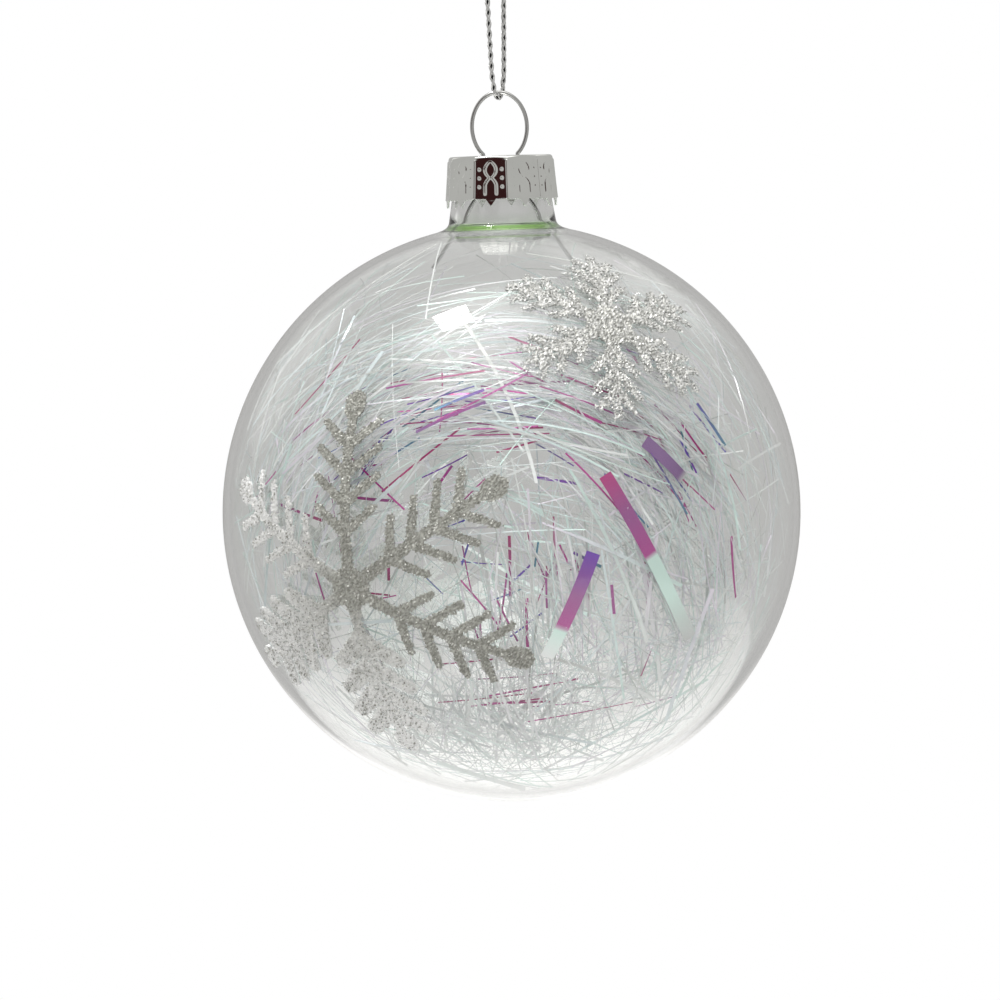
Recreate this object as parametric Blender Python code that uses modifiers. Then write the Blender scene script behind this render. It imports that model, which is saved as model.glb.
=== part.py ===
"""Glass ball ornament: a clear glass bulb, its crown cap, a spring wire hanger, a braided cord
loop, glitter snowflakes on the glass and shredded film inside it.

The origin is where a hook holds the cord's loop. +Z is up and the front faces -Y. Lengths are
in metres, and heights named *_UP are measured from the centre of the ball.
"""

import math

import bmesh
import bpy
from mathutils import Matrix, Vector

# Ball
BALL_RADIUS = 0.0400
GLASS_WALL = 0.0009
TURN_STEPS = 44
SPHERE_OUTER_POINTS = 17
SPHERE_INNER_POINTS = 14

# Neck of the bulb
NECK_TOP_UP = 0.0486
NECK_TOP_OUTER = 0.0062
NECK_TOP_BORE = 0.0052
NECK_SKIRT_OUTER = 0.0069
NECK_FOOT_OUTER = 0.0074
NECK_FOOT_UP = 0.0403
NECK_FOOT_BORE = 0.0062
FILLET_OUTER = 0.0092
FILLET_INNER = 0.0100

# Crown cap
CAP_TOP_UP = 0.0493
CAP_SKIRT_UP = 0.0433
CAP_TOOTH_UP = 0.0423
CAP_PANELS = 10
CAP_TURN_DEG = -11.0
CAP_TOP_RADIUS = 0.0074
CAP_SKIRT_RADIUS = 0.0079
CAP_SHEET = 0.0003
CAP_HOLE_RADIUS = 0.00075

# Spring wire hanger
WIRE_RADIUS = 0.00028
FOOT_X = 0.00242
LOOP_CENTRE_UP = 0.0533
LOOP_HALF_WIDTH = 0.0038
LOOP_HALF_HEIGHT = 0.0048
LOOP_LOWEST_DEG = -52
FOOT_END_UP = 0.04905
LEG_TOP_UP = 0.04875
LEG_BEND_UP = 0.0452
LEG_TIP_UP = 0.0340
LEG_FLARE_DEG = 33.5
LEG_PIVOT_UP = 0.0489

# Cord
CORD_RADIUS = 0.00038
CORD_RISE = 0.0273
BIGHT_RADIUS = 0.0010
BIGHT_GAP = 0.00012
BIGHT_SPREAD = 0.00062
STRAND_POINTS = 15
KNOT_HALF_SIZE = (0.00125, 0.00105, 0.0010)
KNOT_UP = 0.00145

# Glitter snowflakes; a place is (azimuth, elevation) in degrees, with azimuth 0 at the front
GLITTER_GAP = 0.00038
GLITTER_THICK = 0.00035
LARGE_FRONT_PLACE = (-34, -12)
SMALL_FRONT_PLACE = (27, 40)
LARGE_BACK_PLACE = (-146, -12)
SMALL_BACK_PLACE = (153, 40)

# Film inside the ball
FILM_THICK = 0.00012
BAND_DEPTH = 0.0005
SHRED_DEPTH = 0.0010
SHRED_STEP_IN = 0.0005
SHRED_COUNT = 14
FILM_STEP = 0.0042

WIRE_CENTRE_UP = LOOP_CENTRE_UP + LOOP_HALF_HEIGHT
WIRE_CENTRE_Z = -CORD_RISE
BALL_Z = WIRE_CENTRE_Z - WIRE_CENTRE_UP


def up(height):
    """The world height of a point that is this far above the centre of the ball."""
    return BALL_Z + height


def clear_scene():
    for obj in list(bpy.data.objects):
        bpy.data.objects.remove(obj, do_unlink=True)


def new_collection(name):
    collection = bpy.data.collections.new(name)
    bpy.context.scene.collection.children.link(collection)
    return collection


def make_material(name, colour, roughness, metallic=0.0, transmission=0.0):
    material = bpy.data.materials.new(name)
    material.use_nodes = True
    shader = material.node_tree.nodes["Principled BSDF"]
    shader.inputs["Base Color"].default_value = (*colour, 1.0)
    shader.inputs["Roughness"].default_value = roughness
    shader.inputs["Metallic"].default_value = metallic
    shader.inputs["Transmission Weight"].default_value = transmission
    material.diffuse_color = (*colour, 1.0)
    return material


def make_pivot(name, location, collection):
    pivot = bpy.data.objects.new(name, None)
    pivot.location = location
    pivot.empty_display_size = 0.004
    collection.objects.link(pivot)
    return pivot


def add_mesh_object(name, mesh_data, material, collection, location=(0, 0, 0), parent=None):
    obj = bpy.data.objects.new(name, mesh_data)
    mesh_data.materials.append(material)
    obj.location = location
    obj.parent = parent
    collection.objects.link(obj)
    return obj


def mesh_from(bm, name):
    mesh = bpy.data.meshes.new(name)
    bm.to_mesh(mesh)
    bm.free()
    mesh.shade_smooth()
    return mesh


def tube(name, points, radius, material, collection, location=(0, 0, 0)):
    """A round wire or cord through the points, which are given in world space."""
    curve = bpy.data.curves.new(name, "CURVE")
    curve.dimensions = "3D"
    curve.bevel_depth = radius
    curve.bevel_resolution = 2
    curve.use_fill_caps = True
    spline = curve.splines.new("POLY")
    spline.points.add(len(points) - 1)
    origin = Vector(location)
    for spot, point in zip(spline.points, points):
        spot.co = (*(Vector(point) - origin), 1.0)
    spline.use_smooth = True
    curve.materials.append(material)
    obj = bpy.data.objects.new(name, curve)
    obj.location = location
    collection.objects.link(obj)
    return obj


def smooth_route(route, count):
    """Points spread along a Catmull-Rom curve that passes through the route's points."""
    ends = [Vector(route[0]) * 2 - Vector(route[1]), Vector(route[-1]) * 2 - Vector(route[-2])]
    knots = [ends[0]] + [Vector(p) for p in route] + [ends[1]]
    spans = len(route) - 1
    points = []
    for i in range(count):
        along = spans * i / (count - 1)
        k = min(int(along), spans - 1)
        t = along - k
        a, b, c, d = knots[k : k + 4]
        points.append(
            0.5 * (2 * b + (c - a) * t + (2 * a - 5 * b + 4 * c - d) * t**2 + (3 * b - a - 3 * c + d) * t**3)
        )
    return points


def sphere_direction(azimuth_deg, elevation_deg):
    """The direction from the ball's centre. Azimuth 0 is the front, and it grows towards +X."""
    azimuth = math.radians(azimuth_deg)
    elevation = math.radians(elevation_deg)
    flat = math.cos(elevation)
    return Vector((math.sin(azimuth) * flat, -math.cos(azimuth) * flat, math.sin(elevation)))


def wrap_on_sphere(u, v, centre, radius, reference_radius):
    """Lays a flat point (u, v) on a sphere: u runs east and v north from the centre direction."""
    east = Vector((0, 0, 1)).cross(centre).normalized()
    north = centre.cross(east)
    distance = math.hypot(u, v)
    if distance < 1e-9:
        return centre * radius
    angle = distance / reference_radius
    heading = (east * u + north * v) / distance
    return (centre * math.cos(angle) + heading * math.sin(angle)) * radius


# ---- glass bulb


def bulb_profile():
    """Half of the bulb's section, down the outside to the bottom and back up the inside."""
    inner_radius = BALL_RADIUS - GLASS_WALL
    outer_start = math.asin(FILLET_OUTER / BALL_RADIUS)
    inner_start = math.asin(FILLET_INNER / inner_radius)
    outside = [
        (NECK_TOP_OUTER - 0.00025, NECK_TOP_UP),
        (NECK_TOP_OUTER, NECK_TOP_UP - 0.0003),
        (NECK_SKIRT_OUTER, CAP_SKIRT_UP + 0.0001),
        (NECK_SKIRT_OUTER + 0.0001, CAP_TOOTH_UP + 0.0002),
        (NECK_FOOT_OUTER, NECK_FOOT_UP),
        (0.00750, 0.03995),
        (0.00775, 0.03960),
        (0.00830, 0.03925),
    ]
    inside = [
        (0.00860, 0.03825),
        (0.00775, 0.03860),
        (0.00705, 0.03920),
        (0.00665, 0.04000),
        (NECK_FOOT_BORE, 0.04150),
        (NECK_TOP_BORE, NECK_TOP_UP - 0.0004),
        (NECK_TOP_BORE + 0.0002, NECK_TOP_UP),
    ]
    for i in range(SPHERE_OUTER_POINTS + 1):
        polar = outer_start + (math.pi - outer_start) * i / SPHERE_OUTER_POINTS
        outside.append((BALL_RADIUS * math.sin(polar), BALL_RADIUS * math.cos(polar)))
    bowl = []
    for i in range(SPHERE_INNER_POINTS + 1):
        polar = math.pi - (math.pi - inner_start) * i / SPHERE_INNER_POINTS
        bowl.append((inner_radius * math.sin(polar), inner_radius * math.cos(polar)))
    return outside, bowl + inside


def make_glass_bulb(parent, material, collection):
    outside, inside = bulb_profile()
    profile = outside + inside
    bm = bmesh.new()
    spots = [bm.verts.new((max(r, 0.0), 0.0, h)) for r, h in profile]
    bottom = len(outside) - 1
    for i in range(len(spots)):
        if i != bottom:
            bm.edges.new((spots[i], spots[(i + 1) % len(spots)]))
    bulb = add_mesh_object("glass_bulb", mesh_from(bm, "glass_bulb"), material, collection, parent=parent)
    turn = bulb.modifiers.new("Turn", "SCREW")
    turn.axis = "Z"
    turn.steps = TURN_STEPS
    turn.render_steps = TURN_STEPS
    turn.use_merge_vertices = True
    turn.merge_threshold = 0.00001
    return bulb


# ---- crown cap


def cap_ring(bm, corner_radius, height, tooth_drop=0.0):
    """One ring of the cap: corners between the panels, and a point in the middle of each panel."""
    ring = []
    half_panel = math.pi / CAP_PANELS
    for k in range(2 * CAP_PANELS):
        angle = math.radians(CAP_TURN_DEG) + (k - 1) * half_panel
        on_panel = k % 2 == 1
        radius = corner_radius * (math.cos(half_panel) if on_panel else 1.0)
        drop = tooth_drop if on_panel else 0.0
        ring.append(bm.verts.new((radius * math.sin(angle), -radius * math.cos(angle), height - drop)))
    return ring


def make_hole_cutter(cutters):
    """The two holes in the cap's plate that the wire's feet pass through."""
    bm = bmesh.new()
    for side in (-1, 1):
        place = Matrix.Translation((side * FOOT_X, 0, -CAP_SHEET / 2))
        bmesh.ops.create_cone(
            bm,
            cap_ends=True,
            segments=12,
            radius1=CAP_HOLE_RADIUS,
            radius2=CAP_HOLE_RADIUS,
            depth=6 * CAP_SHEET,
            matrix=place,
        )
    mesh = bpy.data.meshes.new("cap_holes")
    bm.to_mesh(mesh)
    bm.free()
    cutter = bpy.data.objects.new("cap_holes", mesh)
    cutter.location = (0, 0, up(CAP_TOP_UP))
    cutter.hide_render = True
    cutter.display_type = "WIRE"
    cutters.objects.link(cutter)
    return cutter


def make_cap(material, collection, cutters):
    skirt_drop = CAP_TOP_UP - CAP_SKIRT_UP
    tooth_drop = CAP_SKIRT_UP - CAP_TOOTH_UP
    levels = [
        (CAP_TOP_RADIUS - 0.00035, 0.0, 0.0),
        (CAP_TOP_RADIUS - 0.00005, -0.0001, 0.0),
        (CAP_TOP_RADIUS + 0.00005, -0.0005, 0.0),
        (0.5 * (CAP_TOP_RADIUS + CAP_SKIRT_RADIUS) - 0.00005, -0.55 * skirt_drop, 0.0),
        (CAP_SKIRT_RADIUS, -skirt_drop, tooth_drop),
    ]
    bm = bmesh.new()
    rings = [cap_ring(bm, radius, height, drop) for radius, height, drop in levels]
    bm.faces.new(rings[0])
    for above, below in zip(rings, rings[1:]):
        for k in range(len(above)):
            after = (k + 1) % len(above)
            bm.faces.new((above[k], below[k], below[after], above[after]))
    bmesh.ops.recalc_face_normals(bm, faces=bm.faces)
    mesh = mesh_from(bm, "ornament_cap")
    mesh.set_sharp_from_angle(angle=math.radians(20))
    cap = add_mesh_object("ornament_cap", mesh, material, collection, location=(0, 0, up(CAP_TOP_UP)))
    sheet = cap.modifiers.new("Sheet", "SOLIDIFY")
    sheet.thickness = CAP_SHEET
    sheet.offset = -1.0
    sheet.use_even_offset = True
    holes = cap.modifiers.new("Foot holes", "BOOLEAN")
    holes.operation = "DIFFERENCE"
    holes.object = make_hole_cutter(cutters)
    return cap


# ---- spring wire hanger


def loop_route():
    """The wire from the left foot, round the oval eye, to the right foot."""
    left = [(-FOOT_X, 0, up(FOOT_END_UP)), (-FOOT_X, 0, up(CAP_TOP_UP))]
    arc = []
    lowest = math.radians(LOOP_LOWEST_DEG)
    steps = 22
    for i in range(steps + 1):
        angle = math.pi - lowest + (2 * lowest - math.pi) * i / steps
        x = LOOP_HALF_WIDTH * math.cos(angle)
        arc.append((x, 0, up(LOOP_CENTRE_UP + LOOP_HALF_HEIGHT * math.sin(angle))))
    right = [(-x, y, z) for x, y, z in reversed(left)]
    return left + arc + right


def make_wire_loop(material, collection):
    pivot = (0, 0, WIRE_CENTRE_Z)
    return tube("wire_loop", loop_route(), WIRE_RADIUS, material, collection, location=pivot)


def make_spring_leg(name, side, material, collection):
    """One leg below the cap: straight through the neck, then flared out under its inner lip."""
    flare = math.radians(LEG_FLARE_DEG)
    reach = (LEG_BEND_UP - LEG_TIP_UP) * math.tan(flare)
    route = [
        (side * FOOT_X, 0, up(LEG_TOP_UP)),
        (side * FOOT_X, 0, up(0.5 * (LEG_TOP_UP + LEG_BEND_UP))),
        (side * (FOOT_X + 0.0001), 0, up(LEG_BEND_UP)),
        (side * (FOOT_X + 0.35 * reach), 0, up(LEG_BEND_UP - 0.35 * (LEG_BEND_UP - LEG_TIP_UP))),
        (side * (FOOT_X + reach), 0, up(LEG_TIP_UP)),
    ]
    pivot = (side * FOOT_X, 0, up(LEG_PIVOT_UP))
    return tube(name, smooth_route(route, 11), WIRE_RADIUS, material, collection, location=pivot)


# ---- cord


def strand_route():
    """The left strand, from beside the knot down past the hook to the wire's eye."""
    return [
        (-0.00115, 0.0, 0.0005),
        (-0.00170, 0.0, -0.0007),
        (-0.00192, -0.0001, -0.0024),
        (-0.00168, -0.00025, -0.0070),
        (-0.00118, -0.00050, -0.0135),
        (-0.00098, -0.00075, -0.0200),
        (-0.00082, -0.00095, -0.0248),
        (-BIGHT_SPREAD, -BIGHT_RADIUS, WIRE_CENTRE_Z + 0.0010),
    ]


def bight_route():
    """The turn of the cord under the top of the wire's eye, from front left to back right."""
    lowest = WIRE_CENTRE_Z - WIRE_RADIUS - CORD_RADIUS - BIGHT_GAP
    centre = lowest + BIGHT_RADIUS
    points = [(-BIGHT_SPREAD, -BIGHT_RADIUS, WIRE_CENTRE_Z + 0.0007)]
    steps = 10
    for i in range(steps + 1):
        angle = math.pi * i / steps
        x = BIGHT_SPREAD * (2 * i / steps - 1)
        points.append((x, -BIGHT_RADIUS * math.cos(angle), centre - BIGHT_RADIUS * math.sin(angle)))
    points.append((BIGHT_SPREAD, BIGHT_RADIUS, WIRE_CENTRE_Z + 0.0007))
    return points


def make_cord_strands(material, collection):
    left = smooth_route(strand_route(), STRAND_POINTS)
    right = [(-x, -y, z) for x, y, z in left]
    tube("cord_strand_left", left, CORD_RADIUS, material, collection)
    tube("cord_strand_right", right, CORD_RADIUS, material, collection)


def make_cord_bight(material, collection):
    tube("cord_bight", bight_route(), CORD_RADIUS, material, collection, location=(0, 0, WIRE_CENTRE_Z))


def meshed_copy(obj, collection):
    """Replaces a curve by a mesh whose caps are welded on, so that it can be joined."""
    bpy.context.view_layer.update()
    evaluated = obj.evaluated_get(bpy.context.evaluated_depsgraph_get())
    mesh = bpy.data.meshes.new_from_object(evaluated)
    bm = bmesh.new()
    bm.from_mesh(mesh)
    bmesh.ops.remove_doubles(bm, verts=bm.verts, dist=0.000001)
    bm.to_mesh(mesh)
    bm.free()
    solid = bpy.data.objects.new(obj.name + "_solid", mesh)
    solid.matrix_world = obj.matrix_world.copy()
    collection.objects.link(solid)
    bpy.data.objects.remove(obj, do_unlink=True)
    return solid


def make_cord_knot(material, collection, cutters):
    """The knot over the hook, with the cord's two cut tails joined to it."""
    bm = bmesh.new()
    bmesh.ops.create_uvsphere(bm, u_segments=14, v_segments=9, radius=1.0)
    bmesh.ops.scale(bm, vec=KNOT_HALF_SIZE, verts=bm.verts)
    knot = add_mesh_object("cord_knot", mesh_from(bm, "cord_knot"), material, collection)
    knot.location = (0, 0, KNOT_UP)
    tails = [
        ("tail_left", [(-0.0003, 0.0001, 0.0018), (-0.0008, 0.0002, 0.0031), (-0.0014, 0.0001, 0.0043)]),
        ("tail_right", [(0.0003, -0.0001, 0.0018), (0.0006, -0.0004, 0.0032), (0.0013, -0.0005, 0.0047)]),
    ]
    for name, route in tails:
        curve = tube(name, smooth_route(route, 5), CORD_RADIUS, material, cutters)
        tail = meshed_copy(curve, cutters)
        tail.hide_render = True
        tail.display_type = "WIRE"
        join = knot.modifiers.new(name, "BOOLEAN")
        join.operation = "UNION"
        join.object = tail
    return knot


# ---- glitter snowflakes


def branch_outline(distance, length, stem_half, branch_half, angle):
    """One side branch on the right of an arm: in to out, as (along, across) points."""
    run, rise = math.cos(angle), math.sin(angle)
    corner = stem_half / math.tan(angle) + distance
    near = corner - branch_half / rise
    far = corner + branch_half / rise
    tip = Vector((distance + length * run, -length * rise))
    side = Vector((rise, run)) * branch_half
    end = Vector((run, -rise)) * branch_half
    return [
        (near, -stem_half),
        tuple(tip - side),
        tuple(tip + (end - side) * 0.72),
        tuple(tip + (end + side) * 0.72),
        tuple(tip + side),
        (far, -stem_half),
    ]


def arm_tip(length, stem_half, bulb_half):
    """The right half of an arm's end: a round bulb, or a point where bulb_half is none."""
    if not bulb_half:
        return [(length - 1.2 * stem_half, -stem_half), (length - 0.4 * stem_half, -0.6 * stem_half)]
    centre = length - bulb_half
    start = math.asin(stem_half / bulb_half)
    points = []
    steps = 4
    for i in range(steps + 1):
        angle = math.pi - start + (start - math.pi) * i / (steps + 0.5)
        points.append((centre + bulb_half * math.cos(angle), -bulb_half * math.sin(angle)))
    return points


def snowflake_outline(design, turn_deg):
    """The closed outline of a six-armed snowflake, counter-clockwise, as flat (u, v) points."""
    stem = design["stem_half"]
    hub = design["hub_radius"]
    right = [(math.sqrt(hub**2 - stem**2), -stem)]
    for distance, length in design["branches"]:
        right += branch_outline(distance, length, stem, design["branch_half"], design["branch_angle"])
    right += arm_tip(design["radius"], stem, design["tip_half"])
    arm = right + [(design["radius"], 0.0)] + [(s, -t) for s, t in reversed(right)]
    gap = math.pi / 6
    hub_points = [(hub * math.cos(gap), hub * math.sin(gap))]
    outline = []
    for k in range(6):
        angle = math.radians(turn_deg) + k * math.pi / 3
        for s, t in arm + hub_points:
            outline.append(
                (s * math.cos(angle) - t * math.sin(angle), s * math.sin(angle) + t * math.cos(angle))
            )
    return outline


def make_snowflake(name, design, place, turn_deg, parent, material, collection):
    """A flat outline with thickness, laid round the outside of the glass."""
    curve = bpy.data.curves.new(name, "CURVE")
    curve.dimensions = "2D"
    curve.fill_mode = "BOTH"
    curve.extrude = GLITTER_THICK / 2
    outline = snowflake_outline(design, turn_deg)
    spline = curve.splines.new("POLY")
    spline.points.add(len(outline) - 1)
    for spot, (u, v) in zip(spline.points, outline):
        spot.co = (u, v, 0.0, 1.0)
    spline.use_cyclic_u = True
    flat = bpy.data.objects.new(name + "_flat", curve)
    collection.objects.link(flat)
    solid = meshed_copy(flat, collection)
    mesh = solid.data
    bpy.data.objects.remove(solid, do_unlink=True)
    centre = sphere_direction(*place)
    base = BALL_RADIUS + GLITTER_GAP + GLITTER_THICK / 2
    for vertex in mesh.vertices:
        u, v, lift = vertex.co
        vertex.co = wrap_on_sphere(u, v, centre, base + lift, BALL_RADIUS)
    mesh.shade_smooth()
    mesh.set_sharp_from_angle(angle=math.radians(40))
    return add_mesh_object(name, mesh, material, collection, parent=parent)


FERN_STAR = {
    "radius": 0.0270,
    "hub_radius": 0.0033,
    "stem_half": 0.0008,
    "branch_half": 0.0007,
    "branch_angle": math.radians(54),
    "branches": [(0.0075, 0.0057), (0.0114, 0.0062), (0.0153, 0.0062), (0.0192, 0.0057)],
    "tip_half": 0.0017,
}
FIR_STAR = {
    "radius": 0.0150,
    "hub_radius": 0.0042,
    "stem_half": 0.0008,
    "branch_half": 0.00065,
    "branch_angle": math.radians(44),
    "branches": [(0.0060, 0.0036), (0.0097, 0.0038)],
    "tip_half": 0.0,
}


# ---- film inside the ball


def make_film(name, path, width, depth, parent, material, collection):
    """A thin ribbon that lies along directions on a shell this deep inside the glass."""
    radius = BALL_RADIUS - GLASS_WALL - depth
    bm = bmesh.new()
    bmesh.ops.create_grid(bm, x_segments=len(path) - 1, y_segments=1, size=1.0)
    for vertex in bm.verts:
        k = round((vertex.co.x + 1.0) / 2.0 * (len(path) - 1))
        before, after = path[max(k - 1, 0)], path[min(k + 1, len(path) - 1)]
        across = path[k].cross(after - before).normalized()
        side = 1.0 if vertex.co.y > 0 else -1.0
        spot = path[k] * radius + across * (side * width / 2)
        vertex.co = spot.normalized() * radius
    mesh = mesh_from(bm, name)
    film = add_mesh_object(name, mesh, material, collection, parent=parent)
    sheet = film.modifiers.new("Sheet", "SOLIDIFY")
    sheet.thickness = FILM_THICK
    sheet.offset = 0.0
    return film


def band_path(start, end, bow_deg):
    """Directions from start to end, bowed to one side of the shortest way by an angle."""
    first, last = sphere_direction(*start), sphere_direction(*end)
    steps = max(3, math.ceil(BALL_RADIUS * first.angle(last) / FILM_STEP))
    across = first.cross(last).normalized()
    path = []
    for i in range(steps + 1):
        t = i / steps
        push = math.tan(math.radians(bow_deg)) * 4 * t * (1 - t)
        path.append((first.slerp(last, t) + across * push).normalized())
    return path


def shred_path(index):
    """A long arc of film: each one starts a golden angle round the ball from the one before."""
    centre = sphere_direction(137.5 * index + 20, 30 * math.sin(2.4 * index))
    heading = math.radians(32 * math.sin(1.7 * index + 0.6))
    east = Vector((0, 0, 1)).cross(centre).normalized()
    north = centre.cross(east)
    onward = east * math.cos(heading) + north * math.sin(heading)
    half_arc = math.radians(40 + 14 * math.sin(3.1 * index))
    steps = math.ceil(2 * half_arc * BALL_RADIUS / FILM_STEP)
    path = []
    for i in range(steps + 1):
        angle = half_arc * (2 * i / steps - 1)
        path.append(centre * math.cos(angle) + onward * math.sin(angle))
    return path


def make_film_fill(parent, materials, collection):
    bands = [
        ("film_band_front", (19, 9), (42, -26), 1.0, 0.0019, "film_magenta"),
        ("film_band_low", (16, -6), (7, -29), -1.0, 0.0018, "film_violet"),
        ("film_band_right", (28, 15), (37, 7), 1.0, 0.0018, "film_violet"),
        ("film_band_top", (-20, 19), (-5, 24), -1.0, 0.0010, "film_magenta"),
    ]
    for name, start, end, bow, width, colour in bands:
        path = band_path(start, end, bow)
        make_film(name, path, width, BAND_DEPTH, parent, materials[colour], collection)
    for index in range(SHRED_COUNT):
        name = f"film_shred_{index + 1:02d}"
        depth = SHRED_DEPTH + SHRED_STEP_IN * index
        width = 0.0008 + 0.0002 * math.sin(1.3 * index)
        make_film(name, shred_path(index), width, depth, parent, materials["film_pearl"], collection)


# ---- whole ornament


def make_materials():
    return {
        "clear_glass": make_material("clear_glass", (0.90, 0.93, 0.92), 0.03, transmission=1.0),
        "cap_chrome": make_material("cap_chrome", (0.72, 0.72, 0.70), 0.15, metallic=1.0),
        "spring_steel": make_material("spring_steel", (0.70, 0.70, 0.70), 0.25, metallic=1.0),
        "silver_cord": make_material("silver_cord", (0.66, 0.66, 0.64), 0.45, metallic=0.5),
        "glitter_olive": make_material("glitter_olive", (0.44, 0.44, 0.38), 0.55),
        "glitter_white": make_material("glitter_white", (0.75, 0.75, 0.72), 0.50),
        "film_pearl": make_material("film_pearl", (0.80, 0.86, 0.85), 0.20),
        "film_magenta": make_material("film_magenta", (0.45, 0.08, 0.35), 0.20),
        "film_violet": make_material("film_violet", (0.30, 0.15, 0.45), 0.20),
    }


def make_ornament():
    clear_scene()
    ornament = new_collection("glass_ball_ornament")
    cutters = new_collection("cutters")
    materials = make_materials()
    ball = make_pivot("ball_centre", (0, 0, BALL_Z), ornament)
    make_glass_bulb(ball, materials["clear_glass"], ornament)
    make_cap(materials["cap_chrome"], ornament, cutters)
    make_wire_loop(materials["spring_steel"], ornament)
    make_spring_leg("spring_leg_left", -1, materials["spring_steel"], ornament)
    make_spring_leg("spring_leg_right", 1, materials["spring_steel"], ornament)
    make_cord_strands(materials["silver_cord"], ornament)
    make_cord_bight(materials["silver_cord"], ornament)
    make_cord_knot(materials["silver_cord"], ornament, cutters)
    olive, white = materials["glitter_olive"], materials["glitter_white"]
    make_snowflake("snowflake_front_large", FERN_STAR, LARGE_FRONT_PLACE, 90, ball, olive, ornament)
    make_snowflake("snowflake_front_small", FIR_STAR, SMALL_FRONT_PLACE, 18, ball, white, ornament)
    make_snowflake("snowflake_back_large", FERN_STAR, LARGE_BACK_PLACE, 90, ball, olive, ornament)
    make_snowflake("snowflake_back_small", FIR_STAR, SMALL_BACK_PLACE, 40, ball, white, ornament)
    make_film_fill(ball, materials, ornament)


make_ornament()
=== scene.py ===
"""Looks of a clear glass ball ornament: a blown bulb with a crown cap, a spring wire hanger and a braided
silver cord, glitter snowflakes on the outside and shredded iridescent film on the inside.

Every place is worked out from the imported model: +Z up, the hook point at the origin, the front towards -Y.
Lengths are in metres.
"""

import math

import bpy
import numpy as np
from mathutils import Matrix, Vector


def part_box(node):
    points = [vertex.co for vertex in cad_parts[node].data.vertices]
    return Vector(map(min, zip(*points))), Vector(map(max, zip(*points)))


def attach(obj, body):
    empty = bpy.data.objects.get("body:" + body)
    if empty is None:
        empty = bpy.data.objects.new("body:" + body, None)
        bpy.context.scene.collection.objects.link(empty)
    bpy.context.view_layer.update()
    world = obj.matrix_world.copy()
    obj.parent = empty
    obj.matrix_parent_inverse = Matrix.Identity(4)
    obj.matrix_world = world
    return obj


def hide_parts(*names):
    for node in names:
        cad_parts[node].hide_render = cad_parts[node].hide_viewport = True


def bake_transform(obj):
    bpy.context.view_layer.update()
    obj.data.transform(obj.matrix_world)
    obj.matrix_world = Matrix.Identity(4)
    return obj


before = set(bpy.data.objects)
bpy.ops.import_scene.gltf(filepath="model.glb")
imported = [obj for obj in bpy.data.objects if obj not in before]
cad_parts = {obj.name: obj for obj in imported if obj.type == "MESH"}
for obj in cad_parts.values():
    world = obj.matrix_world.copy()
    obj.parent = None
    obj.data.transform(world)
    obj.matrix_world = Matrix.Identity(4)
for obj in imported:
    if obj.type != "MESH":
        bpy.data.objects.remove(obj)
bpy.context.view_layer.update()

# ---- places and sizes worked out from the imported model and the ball's true radius

BALL_RADIUS = 0.0400
BALL_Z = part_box("glass_bulb")[0][2] + BALL_RADIUS
WIRE_LOW, WIRE_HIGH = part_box("wire_loop")
CAP_LOW, CAP_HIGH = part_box("ornament_cap")
BALL_CENTRE = np.array((0.0, 0.0, BALL_Z))
WIRE_RADIUS = 0.5 * (WIRE_HIGH[1] - WIRE_LOW[1])
WIRE_TOP_Z = WIRE_HIGH[2] - WIRE_RADIUS
CAP_TOP = CAP_HIGH[2] - BALL_Z
TOOTH_TIP = CAP_LOW[2] - BALL_Z

# ---- driving sizes of the looks

NECK_FOOT_RADIUS = 0.0074
GREEN_RING_UP = 0.0390
WALL = 0.00095
WALL_SHIFT = 0.00012
TURN_STEPS = 176
BALL_START_RADIUS = 0.0092
BOWL_END_RADIUS = 0.0100

CAP_PANELS = 10
CAP_TURN = math.radians(-11.5)
CAP_SHEET = 0.0003
SKIRT_END = TOOTH_TIP + 0.0010
CAP_TOP_RADIUS = 0.00736
CAP_SKIRT_RADIUS = 0.00784
CAP_HOLE_RADIUS = 0.00075
CAP_RIM_BEND = 0.00055
TOOTH_HALF = 0.30
SKIRT_ROWS, PANEL_COLUMNS = 54, 40
PATTERN_TOP, PATTERN_END = 0.14, 0.89
LINE_HEIGHT, DOT_HEIGHT, FOLD_HEIGHT = 0.00010, 0.00011, 0.00010

FOOT_X = 0.00242
LEG_BEND_UP = 0.0452
LEG_SPLAY = math.radians(33.5)
LOOP_END = math.radians(-52)
LOOP_HALF_WIDTH = 0.0038
LOOP_HALF_HEIGHT = 0.0048
LOOP_CENTRE = WIRE_TOP_Z - BALL_Z - LOOP_HALF_HEIGHT

CORD_RADIUS = 0.00038
BIGHT_RADIUS = 0.0010
BIGHT_SPREAD = 0.00062
BRAID_PITCH = 0.00296
BRAID_STEP = 0.00013

SEED = 2412


def up(height):
    """The world height of a point this far above the centre of the ball."""
    return BALL_Z + height


def rng(offset):
    """Random numbers that are the same on every run; each use has an offset of its own."""
    return np.random.default_rng(SEED + offset)


# ---- mesh helpers


def add_piece(name, verts, faces, material, smooth=True):
    mesh = bpy.data.meshes.new(name)
    mesh.from_pydata([tuple(v) for v in verts], [], [tuple(f) for f in faces])
    mesh.materials.append(material)
    if smooth:
        mesh.shade_smooth()
    mesh.validate()
    obj = bpy.data.objects.new(name, mesh)
    bpy.context.scene.collection.objects.link(obj)
    return obj


def paint(obj, name, colours):
    """Stores one colour for each vertex, which the material reads by name."""
    layer = obj.data.color_attributes.new(name, "FLOAT_COLOR", "POINT")
    layer.data.foreach_set("color", np.asarray(colours, np.float32).ravel())


def unit(v):
    return v / np.maximum(np.linalg.norm(v, axis=-1, keepdims=True), 1e-12)


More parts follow.
